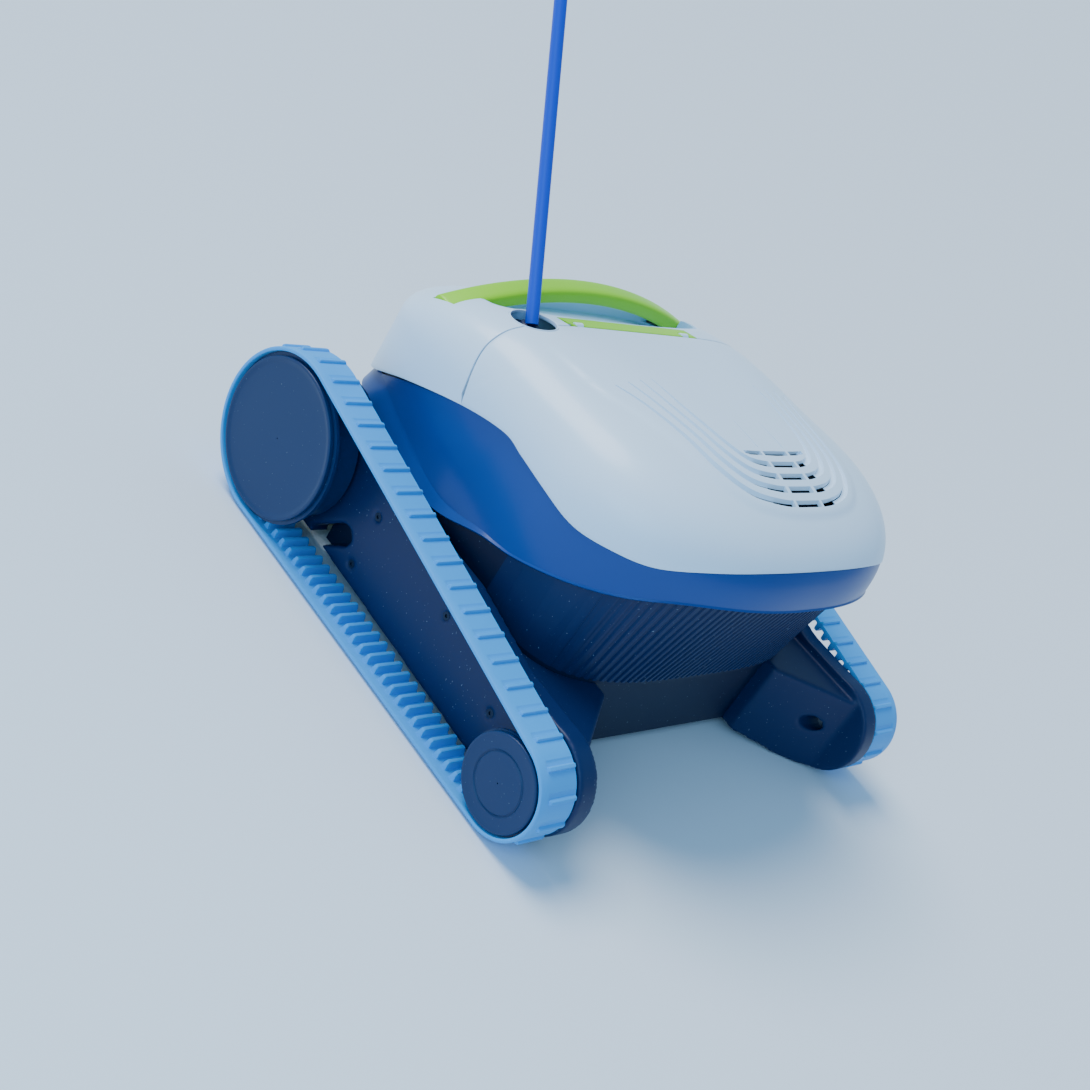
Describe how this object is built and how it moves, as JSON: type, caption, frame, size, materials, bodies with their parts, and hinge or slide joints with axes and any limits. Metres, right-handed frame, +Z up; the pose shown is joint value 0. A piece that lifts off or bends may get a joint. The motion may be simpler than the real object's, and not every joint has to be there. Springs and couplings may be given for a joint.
{
  "type": "pool cleaner",
  "caption": "Tracked pool cleaning robot with a domed hinged lid, outlet grille, carrying handle, twin toothed belts on large and small wheels, and a floating cable.",
  "frame": {"origin": "on the ground plane under the middle of the machine's length and width", "axes": "+X to the machine's left-to-right across the tracks, -Y towards the nose with the small wheels and grille, +Y towards the tail with the large wheels and handle, +Z up"},
  "size_m": [0.4, 0.4834, 0.4737],
  "materials": {
    "tub": "fine moulded texture",
    "deep_blue": "fine moulded texture",
    "band_blue": "satin moulding, lightly scuffed",
    "pale_shell": "satin moulding, small scratches",
    "lime": "satin moulding",
    "steel": "turned stainless steel",
    "tray_blue": "satin moulding",
    "gland_navy": "moulded",
    "cable_blue": "smooth floating-cable sheath",
    "motor_case": "coated housing",
    "seal_rubber": "moulded",
    "white_nylon": "moulded nylon",
    "basket_plastic": "moulded",
    "screen_mesh": "fine filter mesh",
    "belt_rubber": "moulded, fine grit on the cleats",
    "wheel_blue": "fine moulded texture",
    "brush_plastic": "moulded",
    "brush_rubber": "moulded"
  },
  "bodies": {
    "chassis": {"chassis_tub": "tub", "front_rib_panel": "deep_blue", "bottom_plate": "tub", "side_frame_left": "deep_blue", "side_frame_right": "deep_blue", "skirt_band": "band_blue", "rear_cover": "pale_shell", "hinge_trim": "lime", "hinge_pins": "steel", "handle": "lime", "handle_tray": "tray_blue", "cable_gland": "gland_navy", "cable": "cable_blue", "cable_connector": "gland_navy", "motor_housing": "motor_case", "motor_cap": "tub", "shaft_seal": "seal_rubber", "impeller_duct": "tub", "filter_basket": "basket_plastic", "filter_screen_left": "screen_mesh", "filter_screen_right": "screen_mesh", "basket_grip": "lime", "flap_pins": "steel", "track_belt_left": "belt_rubber", "track_belt_right": "belt_rubber", "rear_axles": "steel", "front_axles": "steel", "drive_motor_left": "motor_case", "drive_motor_right": "motor_case", "frame_screws": "steel", "plate_screws": "steel"},
    "lid": {"top_cover": "pale_shell", "lid_catch": "tub"},
    "left_wheel": {"drive_wheel_left": "wheel_blue", "wheel_cover_left": "wheel_blue"},
    "right_wheel": {"drive_wheel_right": "wheel_blue", "wheel_cover_right": "wheel_blue"},
    "left_idler": {"idler_wheel_left": "wheel_blue", "idler_cap_left": "wheel_blue"},
    "right_idler": {"idler_wheel_right": "wheel_blue", "idler_cap_right": "wheel_blue"},
    "left_pinion": {"drive_pinion_left": "steel", "pinion_shaft_left": "steel"},
    "right_pinion": {"drive_pinion_right": "steel", "pinion_shaft_right": "steel"},
    "brush": {"brush_core": "brush_plastic", "brush_fins": "brush_rubber", "brush_shaft": "steel", "brush_pinion": "white_nylon"},
    "impeller_set": {"impeller": "white_nylon", "impeller_shaft": "steel"},
    "left_flap": {"intake_flap_left": "seal_rubber"},
    "right_flap": {"intake_flap_right": "seal_rubber"}
  },
  "joints": [
    {"name": "lid_hinge", "type": "hinge", "parent": "chassis", "child": "lid", "pos_m": [0, 0.0705, 0.21616], "axis": [-1, 0, 0], "range_deg": [0, 80]},
    {"name": "left_wheel_spin", "type": "hinge", "parent": "chassis", "child": "left_wheel", "pos_m": [-0.185, 0.1335, 0.064], "axis": [1, 0, 0], "continuous": true},
    {"name": "right_wheel_spin", "type": "hinge", "parent": "chassis", "child": "right_wheel", "pos_m": [0.185, 0.1335, 0.064], "axis": [1, 0, 0], "continuous": true},
    {"name": "left_idler_spin", "type": "hinge", "parent": "chassis", "child": "left_idler", "pos_m": [-0.185, -0.1595, 0.038], "axis": [1, 0, 0], "continuous": true},
    {"name": "right_idler_spin", "type": "hinge", "parent": "chassis", "child": "right_idler", "pos_m": [0.185, -0.1595, 0.038], "axis": [1, 0, 0], "continuous": true},
    {"name": "left_pinion_spin", "type": "hinge", "parent": "chassis", "child": "left_pinion", "pos_m": [-0.177, 0.1335, 0.094], "axis": [1, 0, 0], "continuous": true},
    {"name": "right_pinion_spin", "type": "hinge", "parent": "chassis", "child": "right_pinion", "pos_m": [0.177, 0.1335, 0.094], "axis": [1, 0, 0], "continuous": true},
    {"name": "brush_spin", "type": "hinge", "parent": "chassis", "child": "brush", "pos_m": [0, 0.1335, 0.034], "axis": [1, 0, 0], "continuous": true},
    {"name": "impeller_spin", "type": "hinge", "parent": "chassis", "child": "impeller_set", "pos_m": [0, -0.088, 0.186], "axis": [0, 0, 1], "continuous": true},
    {"name": "left_flap_hinge", "type": "hinge", "parent": "chassis", "child": "left_flap", "pos_m": [-0.062, 0.0067, 0.0115], "axis": [-1, 0, 0], "range_deg": [0, 70]},
    {"name": "right_flap_hinge", "type": "hinge", "parent": "chassis", "child": "right_flap", "pos_m": [0.062, 0.0067, 0.0115], "axis": [-1, 0, 0], "range_deg": [0, 70]}
  ],
  "couplings": [
    {"joint": "left_idler_spin", "follows": "left_wheel_spin", "ratio": 1.7536},
    {"joint": "left_pinion_spin", "follows": "left_wheel_spin", "ratio": 3.5},
    {"joint": "right_idler_spin", "follows": "right_wheel_spin", "ratio": 1.7536},
    {"joint": "right_pinion_spin", "follows": "right_wheel_spin", "ratio": 3.5},
    {"joint": "brush_spin", "follows": "left_wheel_spin", "ratio": 3.5}
  ]
}
